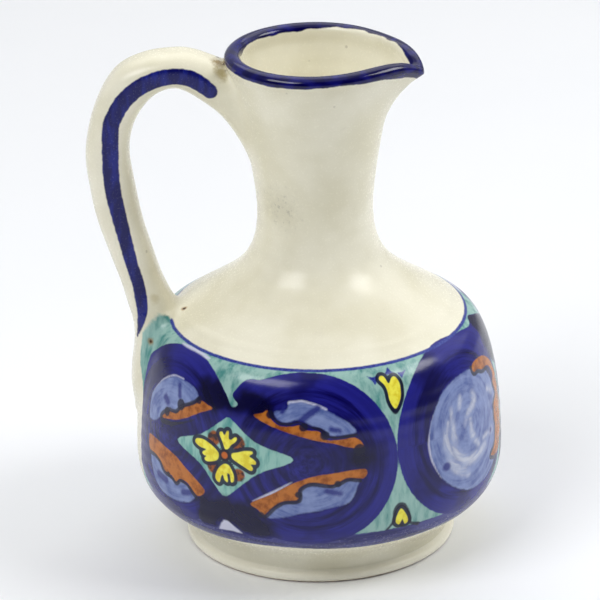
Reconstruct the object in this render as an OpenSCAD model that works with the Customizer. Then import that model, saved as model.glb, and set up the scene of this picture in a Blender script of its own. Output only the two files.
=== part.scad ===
// Small painted ceramic pitcher: a wide bellied body on a low foot, a slim neck that flares
// to a rolled rim, a pulled pouring spout and a pulled strap handle.
// The axis of the body is Z, the foot rests on Z = 0, the handle is on the -X side.

/* [Foot and floor] */
// Outer radius of the foot ring at its widest
foot_r = 39.6; // [38.8:0.1:41]
// Inner radius of the foot ring
foot_inner_r = 31.5; // [30:0.5:34]
// Depth of the hollow under the floor
foot_h = 3.5; // [3:0.1:3.9]
// Thickness of the floor
floor_t = 5; // [4:0.5:6]
// Radius of the flat floor disc
floor_r = 26; // [22:1:28]

/* [Belly] */
// Radius of the waist just above the foot ring
waist_r = 37.7; // [36.5:0.1:38.5]
// Largest radius of the belly
belly_r = 53.6; // [51:0.1:56]
// Height of the largest radius
belly_z = 28.5; // [26:0.5:32]
// Radius of the shoulder edge, where belly and shoulder were joined
edge_r = 45.1; // [43:0.1:47]
// Height of the shoulder edge
edge_z = 68.2; // [66:0.1:70]
// Slope of the wall at the shoulder edge, in degrees above level
edge_slope = 33.5; // [28:0.5:38]
// Wall thickness of the belly
belly_wall_t = 4.5; // [4:0.1:5]

/* [Neck and mouth] */
// Radius of the neck at its narrowest
neck_r = 16.75; // [16:0.05:18]
// Height of the narrowest place
neck_z = 102; // [99:0.5:105]
// Outer radius of the mouth where the rolled rim begins
mouth_r = 24.3; // [23.5:0.1:25]
// Height of the mouth where the rolled rim begins
mouth_z = 145.5; // [143:0.1:146.5]
// Wall thickness of the neck
neck_wall_t = 3.5; // [3:0.1:4]
// Height of the whole pitcher at the rim
rim_top = 150; // [149.5:0.1:152]
// Radius of the roll of the rim
roll_r = 2.5; // [2.2:0.1:2.6]

/* [Spout] */
// Direction of the spout, in degrees from +X towards +Y
spout_turn = -14; // [-30:1:30]
// How far the tip of the spout reaches beyond the round rim
spout_reach = 7.3; // [4:0.1:9]
// Half of the angle over which the rim bends out to the spout
spout_half = 72; // [60:1:80]
// How far the tip of the spout lies below the rim
spout_dip = 2.7; // [0:0.1:3.5]
// How far the rim rises on both sides of the tip
spout_side_rise = 0.4; // [0:0.1:0.8]

/* [Handle] */
// Width of the strap across the loop
strap_w = 15; // [12:0.5:17]
// Thickness of the strap at the bottom of the loop
strap_t = 12.4; // [10:0.2:13.5]
// Farthest reach of the loop's centreline from the axis
loop_reach = 59.4; // [56:0.2:62]

/* [Hidden] */

cream = [0.92, 0.91, 0.83];
cobalt = [0.13, 0.13, 0.45];

floor_z = foot_h + floor_t;
steps = 14;
mouth_split = 0.55;
spout_start = spout_turn + spout_half;

// How far the wall runs on in its direction at each joint before it bends away
waist_pull = 10.5;
belly_pull_down = 18.3;
belly_pull_up = 26;
edge_pull_down = 4.3;
edge_pull_up = 23.3;
neck_pull_down = 18;
neck_pull_up = 9;
mouth_pull = [3, 10.4];
bowl_pull_out = 7;
bowl_pull_down = 9.5;

// Cubic curves of the outer wall, from the foot to the mouth, as [radius, height]
edge = [edge_r, edge_z];
edge_dir = [-cos(edge_slope), sin(edge_slope)];
low_curve = [[waist_r, foot_h], [waist_r, foot_h + waist_pull],
             [belly_r, belly_z - belly_pull_down], [belly_r, belly_z]];
side_curve = [[belly_r, belly_z], [belly_r, belly_z + belly_pull_up],
              edge - edge_pull_down * edge_dir, edge];
shoulder_curve = [edge, edge + edge_pull_up * edge_dir, [neck_r, neck_z - neck_pull_down], [neck_r, neck_z]];
neck_curve = [[neck_r, neck_z], [neck_r, neck_z + neck_pull_up],
              [mouth_r, mouth_z] - mouth_pull, [mouth_r, mouth_z]];
// Inside of the bowl, from the flat floor to the widest place
bowl_curve = [[floor_r, floor_z], [floor_r + bowl_pull_out, floor_z],
              [belly_r - belly_wall_t, belly_z - bowl_pull_down], [belly_r - belly_wall_t, belly_z]];
// The middle of the rim's roll, a little inside the outer face of the mouth
roll_inset = 1.4;
roll_mid = [mouth_r - roll_inset, rim_top - roll_r];

function bez(c, t) = pow(1 - t, 3) * c[0] + 3 * pow(1 - t, 2) * t * c[1]
                   + 3 * (1 - t) * t * t * c[2] + pow(t, 3) * c[3];
function bez_dir(c, t) = pow(1 - t, 2) * (c[1] - c[0]) + 2 * (1 - t) * t * (c[2] - c[1])
                       + t * t * (c[3] - c[2]);
function unit(v) = v / norm(v);
function inward(c, t) = let (d = unit(bez_dir(c, t))) [-d[1], d[0]];
function curve(c, t0 = 0, t1 = 1) = [for (i = [0:steps]) bez(c, t0 + (t1 - t0) * i / steps)];
function offset_curve(c, w0, w1) =
    [for (i = [0:steps]) let (t = i / steps) bez(c, t) + (w0 + (w1 - w0) * t) * inward(c, t)];
function shift_curve(c, w, t0, t1) = [for (p = curve(c, t0, t1)) [p[0] - w, p[1]]];
function backwards(list) = [for (i = [len(list) - 1:-1:0]) list[i]];

// The outer outline from the waist to the mouth, and the solid block it bounds
outer_line = concat(curve(low_curve), curve(side_curve), curve(shoulder_curve), curve(neck_curve));
module body_blank() {
    rotate_extrude($fn = 96)
        polygon(concat([[0, 0], [foot_r, 0], [foot_r, foot_h / 2]], outer_line,
                       [[mouth_r + 0.8, mouth_z + 1.4], [mouth_r + 0.8, rim_top - 2],
                        [roll_mid[0], rim_top], [0, rim_top]]));
}

module foot_ring() {
    color(cream)
        rotate_extrude($fn = 96)
            polygon([[foot_inner_r, foot_h], [foot_inner_r + 0.6, 0.8], [foot_inner_r + 1.4, 0],
                     [foot_r - 1, 0], [foot_r - 0.3, 0.5], [foot_r, 1.4], [foot_r - 0.4, 2.4],
                     [foot_r - 1.2, 3], [waist_r, foot_h]]);
}

module base_floor() {
    color(cream)
        translate([0, 0, foot_h])
            cylinder(r = floor_r, h = floor_t, $fn = 96);
}

module belly_wall() {
    color(cobalt)
        rotate_extrude($fn = 96)
            polygon(concat([[floor_r, foot_h]], curve(low_curve), curve(side_curve),
                           backwards(offset_curve(side_curve, belly_wall_t, belly_wall_t)),
                           backwards(curve(bowl_curve))));
}

module shoulder() {
    color(cream)
        rotate_extrude($fn = 96)
            polygon(concat(curve(shoulder_curve),
                           backwards(offset_curve(shoulder_curve, belly_wall_t, neck_wall_t))));
}

module neck() {
    color(cream)
        rotate_extrude($fn = 96)
            polygon(concat(curve(neck_curve, 0, mouth_split),
                           backwards(shift_curve(neck_curve, neck_wall_t, 0, mouth_split))));
}

// The mouth and its rolled rim leave room for the spout, so each is an open ring
module mouth_collar() {
    color(cream)
        rotate([0, 0, spout_start])
            rotate_extrude(angle = 360 - 2 * spout_half, $fn = 96)
                polygon(concat(curve(neck_curve, mouth_split, 1),
                               backwards(shift_curve(neck_curve, neck_wall_t, mouth_split, 1))));
}

// Outline of the rolled rim over the wall's top, as [radius, height]
roll_steps = 10;
roll_arc = [for (i = [0:roll_steps]) let (a = -40 + 240 * i / roll_steps)
            roll_mid + roll_r * [cos(a), sin(a)]];
roll_line = concat([[mouth_r, mouth_z]], roll_arc, [[mouth_r - neck_wall_t, mouth_z]]);

module rim_roll() {
    color(cobalt)
        rotate([0, 0, spout_start])
            rotate_extrude(angle = 360 - 2 * spout_half, $fn = 96)
                polygon(roll_line);
}

// The spout: one radial section, pushed out by an amount that grows with height
// and towards the middle of the spout
tip_round = 3;
rise_angle = 24;
spout_low_z = bez(neck_curve, mouth_split)[1];
function pull_at(a) =
    pow(max(0, spout_half - sqrt(a * a + tip_round * tip_round)) / (spout_half - tip_round), 2.9);
function push_height(z) = pow(min(1, max(0, (z - spout_low_z) / (roll_mid[1] - spout_low_z))), 2);
function lift_at(a) = let (q = pow(a / rise_angle, 2))
    spout_side_rise * q * exp(1 - q) - spout_dip * pow(pull_at(a), 4.4);
spout_line = concat(curve(neck_curve, mouth_split, 1), [for (i = [1:len(roll_line) - 1]) roll_line[i]],
                    backwards([for (i = [0:steps - 1])
                               bez(neck_curve, mouth_split + (1 - mouth_split) * i / steps)
                               - [neck_wall_t, 0]]));
function spout_point(p, a) =
    let (g = push_height(p[1]), r = p[0] + g * spout_reach * pull_at(a), turn = spout_turn + a)
    [r * cos(turn), r * sin(turn), p[1] + g * lift_at(a)];
spout_cuts = 36;
spout_angles = [for (i = [0:spout_cuts]) let (q = 2 * i / spout_cuts - 1)
                spout_half * sign(q) * pow(abs(q), 1.4)];

// Closed skin over a row of equal rings of points
function ring_faces(rings, per) =
    [for (i = [0:rings - 2], j = [0:per - 1])
        each let (k = (j + 1) % per, a = i * per + j, b = i * per + k, c = a + per, d = b + per)
            [[a, b, d], [a, d, c]]];
module skin(rings) {
    per = len(rings[0]);
    count = len(rings);
    points = [for (ring = rings) each ring];
    first = [for (j = [per - 1:-1:0]) j];
    last = [for (j = [0:per - 1]) (count - 1) * per + j];
    polyhedron(points, concat(ring_faces(count, per), [first, last]), convexity = 6);
}

module pouring_spout() {
    color(cream)
        skin([for (a = spout_angles) [for (p = spout_line) spout_point(p, a)]]);
}

// Handle outline in the plane of the loop, from the neck to the belly. Each place is
// [outer distance, outer height, inner distance, inner height, width], measured from the axis
drawn_reach = 59.4;
drawn_t = 12.4;
reach = loop_reach - drawn_reach;
thin = drawn_t - strap_t;
strap_line = [
    [12, 140, 12, 108, strap_w - 1], [22.5, 145.6, 18.6, 119.5, strap_w],
    [29.3, 148.4, 25.4, 130.2, strap_w], [34, 150, 32.4, 136.4, strap_w],
    [38.8, 150.5, 38.8, 139.9, strap_w], [48.2 + reach, 149.3, 44.4 + reach, 138.4, strap_w],
    [56.6 + reach, 144.8, 48.9 + reach, 133.8, strap_w],
    [62.5 + reach, 134.5, 51.9 + reach + thin, 127.6, strap_w],
    [65.6 + reach, 121, 53 + reach + thin, 119.6, strap_w],
    [64.6 + reach, 108.5, 51.6 + reach + thin, 108.6, strap_w],
    [62.9 + reach, 99.5, 49.8 + reach + thin, 98.5, strap_w],
    [59.7 + reach, 89.3, 47.2 + reach, 89.1, strap_w],
    [57 + reach / 2, 81.2, 44.9 + reach / 2, 81.4, strap_w + 0.5],
    [55.2, 74.5, 42, 74.6, strap_w + 2], [53.6, 68, 38, 66, strap_w + 4],
    [53.4, 61, 38, 58, strap_w + 5], [54.2, 54, 42, 52, strap_w + 5],
    [54.2, 48, 45, 47, strap_w + 3], [52.4, 41, 48, 42, strap_w - 5]];
root_end = 4;
tail_start = 12;
tail_end = len(strap_line) - 1;

function spline(list, s) =
    let (n = len(list) - 1, i = min(floor(s), n - 1), t = s - i,
         a = list[max(i - 1, 0)], b = list[i], c = list[i + 1], d = list[min(i + 2, n)])
    0.5 * (2 * b + (c - a) * t + (2 * a - 5 * b + 4 * c - d) * t * t
           + (3 * b - 3 * c + d - a) * t * t * t);

// Rounded-square section: sides of the strap are fuller than an ellipse
section_points = 20;
fullness = 2.6;
function sign_pow(v) = sign(v) * pow(abs(v), 2 / fullness);
function strap_ring(s) =
    let (p = spline(strap_line, s), outer = [p[0], p[1]], inner = [p[2], p[3]],
         mid = (outer + inner) / 2, half = (outer - inner) / 2)
    [for (j = [0:section_points - 1])
        let (a = 360 * j / section_points, q = mid + sign_pow(cos(a)) * half)
        [-q[0], p[4] / 2 * sign_pow(sin(a)), q[1]]];
module strap(s0, s1, cuts) {
    skin([for (i = [0:cuts]) strap_ring(s0 + (s1 - s0) * i / cuts)]);
}

module handle_root() {
    color(cream)
        difference() {
            strap(0, root_end, 12);
            body_blank();
        }
}

module handle_strap() {
    color(cream)
        strap(root_end, tail_start, 32);
}

module handle_tail() {
    color(cream)
        difference() {
            strap(tail_start, tail_end, 18);
            body_blank();
        }
}

foot_ring();
base_floor();
belly_wall();
shoulder();
neck();
mouth_collar();
rim_roll();
pouring_spout();
handle_root();
handle_strap();
handle_tail();
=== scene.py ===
import math
import bmesh
import bpy
import numpy as np
from mathutils import Matrix, Vector


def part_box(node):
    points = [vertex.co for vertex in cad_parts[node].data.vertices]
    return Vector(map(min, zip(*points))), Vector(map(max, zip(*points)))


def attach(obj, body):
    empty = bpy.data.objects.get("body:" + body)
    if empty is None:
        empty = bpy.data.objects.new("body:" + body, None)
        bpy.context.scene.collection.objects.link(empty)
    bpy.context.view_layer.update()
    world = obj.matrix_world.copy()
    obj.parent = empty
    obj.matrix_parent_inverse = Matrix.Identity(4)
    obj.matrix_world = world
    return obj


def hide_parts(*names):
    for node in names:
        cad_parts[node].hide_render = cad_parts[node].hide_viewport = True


# A small hand-painted ceramic pitcher. Lengths are in millimetres until a mesh is made.
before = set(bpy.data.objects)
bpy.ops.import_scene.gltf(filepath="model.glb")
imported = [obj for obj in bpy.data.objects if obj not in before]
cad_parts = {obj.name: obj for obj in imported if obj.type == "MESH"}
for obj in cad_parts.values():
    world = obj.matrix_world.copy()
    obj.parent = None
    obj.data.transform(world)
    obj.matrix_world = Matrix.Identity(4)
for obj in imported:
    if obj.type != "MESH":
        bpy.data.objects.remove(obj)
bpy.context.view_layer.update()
MM = 0.001


# ---------------------------------------------------------------- sizes, the same as the CAD part's
def box_mm(node):
    low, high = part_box(node)
    return np.array(low) / MM, np.array(high) / MM


FOOT_R = box_mm("foot_ring")[1][0]
FOOT_H = box_mm("foot_ring")[1][2]
FLOOR_R = box_mm("base_floor")[1][0]
FLOOR_Z = box_mm("base_floor")[1][2]
BELLY_R = box_mm("belly_wall")[1][0]
NECK_Z = box_mm("shoulder")[1][2]
RIM_TOP = box_mm("rim_roll")[1][2]
FOOT_INNER_R = 31.5
WAIST_R = 37.7
BELLY_Z = 28.5
EDGE = np.array([45.1, 68.2])
EDGE_SLOPE = math.radians(33.5)
BELLY_WALL = 4.5
NECK_R = 16.75
NECK_WALL = 3.5
MOUTH = np.array([24.3, 145.5])
MOUTH_SPLIT = 0.55
ROLL_R = 2.5
SPOUT_TURN = -14.0
SPOUT_REACH = 7.3
SPOUT_HALF = 72.0
SPOUT_DIP = 2.7
SPOUT_RISE = 0.4
RISE_ANGLE = 24.0
TIP_ROUND = 3.0
UNROLL_R = 53.0            # radius at which the painted band is unrolled
LAP = 2 * math.pi * UNROLL_R
SECTION_STEP = 0.1
CHUNK = 4000               # points that are compared with the whole section at once


# ---------------------------------------------------------------- the wall's section
def bezier(points, count):
    p = np.array(points, float)
    t = np.linspace(0, 1, count)[:, None]
    return (1 - t) ** 3 * p[0] + 3 * (1 - t) ** 2 * t * p[1] + 3 * (1 - t) * t * t * p[2] + t ** 3 * p[3]


def straight(a, b, count=40):
    t = np.linspace(0, 1, count)[:, None]
    return (1 - t) * np.array(a, float) + t * np.array(b, float)


def inward_offset(line, thickness):
    along = np.gradient(line, axis=0)
    along /= np.linalg.norm(along, axis=1)[:, None]
    return line + thickness[:, None] * np.stack([-along[:, 1], along[:, 0]], 1)


def running_mean(line, reach):
    window = np.hanning(2 * reach + 1)[1:-1]
    padded = np.vstack([line[:1]] * (reach - 1) + [line] + [line[-1:]] * (reach - 1))
    return np.stack([np.convolve(padded[:, k], window / window.sum(), "valid") for k in (0, 1)], 1)


def wall_section():
    """The closed outline from the floor's underside, up the outside, over the rim and down inside.
    Returns arc lengths, the places on it at those lengths, and the length at each named place."""
    slope = np.array([-math.cos(EDGE_SLOPE), math.sin(EDGE_SLOPE)])
    low = bezier([[WAIST_R, FOOT_H], [WAIST_R, FOOT_H + 10.5], [BELLY_R, BELLY_Z - 18.3],
                  [BELLY_R, BELLY_Z]], 200)
    side = bezier([[BELLY_R, BELLY_Z], [BELLY_R, BELLY_Z + 26], EDGE - 4.3 * slope, EDGE], 300)
    dome = bezier([EDGE, EDGE + 23.3 * slope, [NECK_R, NECK_Z - 18], [NECK_R, NECK_Z]], 300)
    neck = bezier([[NECK_R, NECK_Z], [NECK_R, NECK_Z + 9], MOUTH - [3, 10.4], MOUTH], 301)
    split = int(round(MOUTH_SPLIT * 300))
    bowl = bezier([[FLOOR_R, FLOOR_Z], [FLOOR_R + 7, FLOOR_Z],
                   [BELLY_R - BELLY_WALL, BELLY_Z - 9.5], [BELLY_R - BELLY_WALL, BELLY_Z]], 150)
    turn = np.radians(np.linspace(-40, 200, 60))
    roll = np.stack([MOUTH[0] - 1.4 + ROLL_R * np.cos(turn), RIM_TOP - ROLL_R + ROLL_R * np.sin(turn)], 1)
    ease = np.linspace(BELLY_WALL, NECK_WALL, 300)
    parts = [
        ("under", straight([0, FOOT_H], [FLOOR_R, FOOT_H])),
        ("ledge", straight([FLOOR_R, FOOT_H], [FOOT_INNER_R, FOOT_H])),
        ("ring_in", straight([FOOT_INNER_R, FOOT_H], [FOOT_INNER_R + 0.6, 0.8])),
        ("rest_in", straight([FOOT_INNER_R + 0.6, 0.8], [FOOT_INNER_R + 1.4, 0])),
        ("rest", straight([FOOT_INNER_R + 1.4, 0], [FOOT_R - 1, 0])),
        ("rest_out", straight([FOOT_R - 1, 0], [FOOT_R - 0.3, 0.5])),
        ("ring_out", straight([FOOT_R - 0.3, 0.5], [FOOT_R, 1.4])),
        ("ring_top", straight([FOOT_R, 1.4], [FOOT_R - 0.4, 2.4])),
        ("ring_neck", straight([FOOT_R - 0.4, 2.4], [WAIST_R, FOOT_H])),
        ("low", low), ("side", side), ("dome", dome), ("neck", neck[:split + 1]), ("collar", neck[split:]),
        ("roll", np.vstack([straight(MOUTH, roll[0], 10), roll,
                            straight(roll[-1], MOUTH - [NECK_WALL, 0], 10)])),
        ("collar_in", (neck[split:] - [NECK_WALL, 0])[::-1]),
        ("neck_in", (neck[:split + 1] - [NECK_WALL, 0])[::-1]),
        ("dome_in", inward_offset(dome, ease)[::-1]),
        ("side_in", inward_offset(side, np.full(300, BELLY_WALL))[::-1]),
        ("bowl_in", bowl[::-1]),
        ("floor_in", straight([FLOOR_R, FLOOR_Z], [0, FLOOR_Z]))]
    places, line, total = {}, [], 0.0
    for name, part in parts:
        places[name] = total
        total += np.linalg.norm(np.diff(part, axis=0), axis=1).sum()
        line.append(part)
    places["end"] = total
    line = np.vstack(line)
    step = np.linalg.norm(np.diff(line, axis=0), axis=1)
    line = line[np.r_[True, step > 1e-9]]
    length = np.r_[0, np.cumsum(np.linalg.norm(np.diff(line, axis=0), axis=1))]
    even = np.arange(0, total, SECTION_STEP)
    line = np.stack([np.interp(even, length, line[:, k]) for k in (0, 1)], 1)
    # glaze rounds every corner with a short running mean, and fills the ones beside the roll
    thin, full = running_mean(line, 7), running_mean(line, 29)
    beside = np.abs(even[:, None] - [places["roll"] + 0.4, places["collar_in"] - 0.8]).min(1)
    much = np.clip(1.6 - beside / 2, 0, 1)[:, None]
    soft = (1 - much) * thin + much * full
    soft[0], soft[-1] = line[0], line[-1]
    return even, soft, places


S_LINE, SECTION, AT = wall_section()
TANGENT = np.gradient(SECTION, axis=0)
TANGENT /= np.linalg.norm(TANGENT, axis=1)[:, None]
BAND_ZERO = AT["side"] - 38.1     # the painted band counts its height along the wall from here


def pull_at(angle):
    """How much of the spout's reach the rim takes at an angle from the spout, 0 to 1."""
    away = np.clip(SPOUT_HALF - np.sqrt(angle * angle + TIP_ROUND ** 2), 0, None)
    return (away / (SPOUT_HALF - TIP_ROUND)) ** 2.9


COLLAR_Z = SECTION[int(AT["collar"] / SECTION_STEP), 1]


def push_height(z):
    return np.clip((z - COLLAR_Z) / (RIM_TOP - ROLL_R - COLLAR_Z), 0, 1) ** 2


def hand_wobble(azimuth, z):
    """What the potter's hands leave: a slightly uneven wall and faint spiral ridges, in mm."""
    uneven = 0.07 * np.sin(2 * azimuth + z / 31) + 0.05 * np.sin(3 * azimuth - z / 19 + 1)
    ridges = 0.035 * np.sin(2 * math.pi * z / 4.3 + azimuth) * (0.6 + 0.4 * np.sin(z / 9 + 2 * azimuth))
    high = np.clip((z - 6) / 6, 0, 1) * np.clip((146 - z) / 4, 0, 1)
    return (uneven + ridges) * high


def wall_point(azimuth, s):
    """Place on the wall in mm. Azimuth is 0 towards -Y and grows towards +X; s is along the section."""
    r, z = np.interp(s, S_LINE, SECTION[:, 0]), np.interp(s, S_LINE, SECTION[:, 1])
    tr, tz = np.interp(s, S_LINE, TANGENT[:, 0]), np.interp(s, S_LINE, TANGENT[:, 1])
    wobble = hand_wobble(azimuth, z)
    push = push_height(z)
    r, z = r + tz * wobble, z - tr * wobble
    angle = (np.degrees(azimuth) - 90 - SPOUT_TURN + 180) % 360 - 180
    pull = pull_at(angle)
    q = (angle / RISE_ANGLE) ** 2
    lift = SPOUT_RISE * q * np.exp(1 - q) - SPOUT_DIP * pull ** 4.4
    r = r + push * SPOUT_REACH * pull
    z = z + push * lift
    return np.stack([r * np.sin(azimuth), -r * np.cos(azimuth), z], -1)


def wall_normal(azimuth, s):
    step_a, step_s = 0.004, 0.15
    along_a = wall_point(azimuth + step_a, s) - wall_point(azimuth - step_a, s)
    along_s = wall_point(azimuth, np.minimum(s + step_s, S_LINE[-1])) - \
        wall_point(azimuth, np.maximum(s - step_s, 0))
    n = np.cross(along_a, along_s)
    size = np.linalg.norm(n, axis=-1, keepdims=True)
    flat = np.where(s[..., None] < 1, [[0, 0, -1.0]], [[0, 0, 1.0]])
    return np.where(size > 1e-6, n / np.maximum(size, 1e-9), flat)


# ---------------------------------------------------------------- meshes
def make_object(name, points, faces, face_normals, fields):
    """A mesh from points in mm, faces as index lists, and a normal for each corner of each face."""
    mesh = bpy.data.meshes.new(name)
    mesh.from_pydata((points * MM).tolist(), [], faces)
    for key, values in fields.items():
        mesh.attributes.new(key, "FLOAT", "POINT").data.foreach_set("value", values.astype(np.float32))
    mesh.polygons.foreach_set("use_smooth", np.ones(len(mesh.polygons), bool))
    mesh.normals_split_custom_set(face_normals)
    mesh.update()
    piece = bpy.data.objects.new(name, mesh)
    bpy.context.scene.collection.objects.link(piece)
    return piece


def wall_rows(s0, s1, step):
    return np.linspace(s0, s1, max(2, int(math.ceil(abs(s1 - s0) / step)) + 1))


def wall_piece(name, outer, columns, inner=None, inner_columns=0, span=None, knee=None, disc=False,
               fields=None):
    """A closed piece of the wall. outer and inner are rows of s, outer upwards and inner downwards;
    with no inner rows the last outer row is joined to the first. span is the first and last azimuth
    of an open ring. knee is one more row of s that the lower joint passes over. disc closes the
    middle of a flat piece instead of joining its lower rows."""
    def around(count):
        return np.linspace(-math.pi, math.pi, count, endpoint=False) if span is None else \
            np.linspace(span[0], span[1], count + 1)

    grids = [np.meshgrid(outer, around(columns), indexing="ij")]
    if inner is not None:
        grids.append(np.meshgrid(inner, around(inner_columns), indexing="ij"))
    if knee is not None:
        grids.append(np.meshgrid([knee], around(inner_columns), indexing="ij"))
    s = np.concatenate([g[0].ravel() for g in grids])
    azimuth = np.concatenate([g[1].ravel() for g in grids])
    points, normals = wall_point(azimuth, s), wall_normal(azimuth, s)
    faces = []

    def quads(first, rows, wide):
        i, j = np.meshgrid(np.arange(rows - 1), np.arange(wide if span is None else wide - 1),
                           indexing="ij")
        a, b = first + i * wide + j, first + i * wide + (j + 1) % wide
        return np.stack([a, b, b + wide, a + wide], -1).reshape(-1, 4).tolist()

    wide = grids[0][0].shape[1]
    rows = len(outer)
    faces += quads(0, rows, wide)
    second = rows * wide
    if inner is not None:
        narrow = grids[1][0].shape[1]
        faces += quads(second, len(inner), narrow)
    curved = len(faces)
    if inner is None:
        top = (rows - 1) * wide
        for j in range(wide if span is None else wide - 1):
            k = (j + 1) % wide
            faces.append([top + j, top + k, k, j])
    else:
        ratio = columns // inner_columns
        top, low = (rows - 1) * wide, second + (len(inner) - 1) * narrow
        for j in range(narrow if span is None else narrow - 1):
            k = (j + 1) % narrow
            steps = [(j * ratio + m) % wide for m in range(ratio + 1)]
            faces.append([top + m for m in steps] + [second + k, second + j])
            if disc:
                continue
            if knee is None:
                faces.append(steps[::-1] + [low + j, low + k])
            else:
                bend = low + narrow
                faces.append(steps[::-1] + [bend + j, bend + k])
                faces.append([bend + k, bend + j, low + j, low + k])
    if disc:
        faces += [list(range(wide))[::-1], list(range(low, low + narrow))]
    if span is not None:
        for column, flip in ((0, False), (wide - 1, True)):
            side = [i * wide + column for i in range(rows)]
            if inner is not None:
                inner_column = 0 if column == 0 else narrow - 1
                side += [second + i * narrow + inner_column for i in range(len(inner))]
            faces.append(side[::-1] if flip else side)
    smooth = [True] * curved + [False] * (len(faces) - curved)
    return make_object(name, points, faces, corner_list(points, normals, faces, smooth),
                       fields(azimuth, s - BAND_ZERO) if fields else {})


def corner_list(points, normals, faces, smooth):
    """Normals for every face corner: the surface's own, or the face's where it is a flat joint."""
    out = []
    rows = normals.tolist()
    for face, is_smooth in zip(faces, smooth):
        if is_smooth:
            out += [rows[v] for v in face]
        else:
            ring = points[face]
            n = np.cross(ring, np.roll(ring, -1, 0)).sum(0)
            n = n / max(np.linalg.norm(n), 1e-9)
            out += [n.tolist()] * len(face)
    return out


# ---------------------------------------------------------------- the handle's shape
# Outline in the plane of the loop: outer distance, outer height, inner distance, inner height, width
STRAP = np.array([
    [12, 140, 12, 108, 14], [22.5, 145.6, 18.6, 119.5, 15], [29.3, 148.4, 25.4, 130.2, 15],
    [34, 150, 32.4, 136.4, 15], [38.8, 150.5, 38.8, 139.9, 15], [48.2, 149.3, 44.4, 138.4, 15],
    [56.6, 144.8, 48.9, 133.8, 15], [62.5, 134.5, 51.9, 127.6, 15], [65.6, 121, 53, 119.6, 15],
    [64.6, 108.5, 51.6, 108.6, 15], [62.9, 99.5, 49.8, 98.5, 15], [59.7, 89.3, 47.2, 89.1, 15],
    [57, 81.2, 44.9, 81.4, 15.5], [55.2, 74.5, 42, 74.6, 17], [53.6, 68, 38, 66, 19],
    [53.4, 61, 38, 58, 20], [54.2, 54, 42, 52, 20], [54.2, 48, 45, 47, 18], [52.4, 41, 48, 42, 10]])
FULLNESS = 2.6
ROOT_END = 4
TAIL_START = 12


def through(a, b, c, d, t):
    """A smooth curve from b to c, for t from 0 to 1; a and d are the places before and after."""
    return 0.5 * (2 * b + (c - a) * t + (2 * a - 5 * b + 4 * c - d) * t * t
                  + (3 * b - 3 * c + d - a) * t ** 3)


def spline(table, s):
    """Smooth curve through the table's rows, at row number s."""
    last = len(table) - 1
    i = np.clip(np.floor(s).astype(int), 0, last - 1)
    t = (s - i)[:, None]
    return through(*(table[np.clip(i + k, 0, last)] for k in (-1, 0, 1, 2)), t)


STRAP_S = np.linspace(0, len(STRAP) - 1, 181)
STRAP_LINE = spline(STRAP, STRAP_S)


def strap_place(d, z):
    """For points of the loop's plane: position across the strap, -1 inner to 1 outer, the strap's
    half thickness and half width there, and how far the point lies beyond the strap's ends."""
    outer, inner = STRAP_LINE[:, 0:2], STRAP_LINE[:, 2:4]
    half = (outer - inner) / 2
    size = np.linalg.norm(half, axis=1)
    across = half / size[:, None]
    mid = (outer + inner) / 2
    rel_d, rel_z = d[:, None] - mid[:, 0], z[:, None] - mid[:, 1]
    off = rel_d * across[:, 1] - rel_z * across[:, 0]
    u = (rel_d * across[:, 0] + rel_z * across[:, 1]) / size
    crossing = off[:, :-1] * off[:, 1:] <= 0
    cost = np.where(crossing, np.abs(u[:, :-1]), 1e3)
    best = cost.argmin(1)
    rows = np.arange(len(d))
    found = crossing[rows, best]
    a, b = off[rows, best], off[rows, best + 1]
    t = np.where(found, a / np.where(np.abs(a - b) < 1e-12, 1, a - b), 0)
    end_cost = np.stack([np.abs(off[:, 0]), np.abs(off[:, -1])], 1)
    end = np.where(end_cost[:, 0] < end_cost[:, 1], 0, len(size) - 1)
    near, far = np.where(found, best, end), np.where(found, np.minimum(best + 1, len(size) - 1), end)

    def blend(values):
        return values[near] * (1 - t) + values[far] * t

    u_here = u[rows, near] * (1 - t) + u[rows, far] * t
    beyond = np.where(found, 0, np.abs(off[rows, end]))
    return u_here, blend(size), blend(STRAP_LINE[:, 4]) / 2, beyond


def strap_field(place, y):
    u, thick, wide, beyond = place
    ratio = (np.abs(u) ** FULLNESS + np.abs(y / wide) ** FULLNESS) ** (1 / FULLNESS)
    size = np.sqrt((u * thick) ** 2 + y * y)
    reach = np.where(ratio > 1e-6, size / np.maximum(ratio, 1e-6), np.minimum(thick, wide))
    return (ratio - 1) * reach + beyond


OUTER = slice(int(AT["low"] / SECTION_STEP), int(SECTION[:, 1].argmax()))


def body_field(r, z):
    """Signed distance in the section's plane from the outside of the body, negative inside it."""
    line, along = SECTION[OUTER][::3], TANGENT[OUTER][::3]
    out = np.empty(len(r))
    for lo in range(0, len(r), CHUNK):
        part = slice(lo, lo + CHUNK)
        dr, dz = r[part, None] - line[:, 0], z[part, None] - line[:, 1]
        best = (dr * dr + dz * dz).argmin(1)
        rows = np.arange(len(best))
        dr, dz = dr[rows, best], dz[rows, best]
        tr, tz = along[best, 0], along[best, 1]
        out[part] = dr * tz - dz * tr
    return out


def blend_radius(z):
    """The joint is a tight crease under the rim and a wide soft flow everywhere else."""
    t = np.clip((z - 139) / 7, 0, 1)
    return 6.5 - 5.0 * t * t * (3 - 2 * t)


def soft_min(a, b, k, power=3):
    """The smaller of two distances, rounded where they are less than k apart."""
    h = np.clip(k - np.abs(a - b), 0, None) / k
    return np.minimum(a, b) - h ** power * k / (2 * power)


UNDER_GLAZE = 0.012     # the handle's skirt ends this far under the body's surface
SKIRT_DEPTH = 1.6
SKIRT_EXTRA = 1.0       # and this far beyond the soft joint
SLOPE_STEP = 0.05


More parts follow.
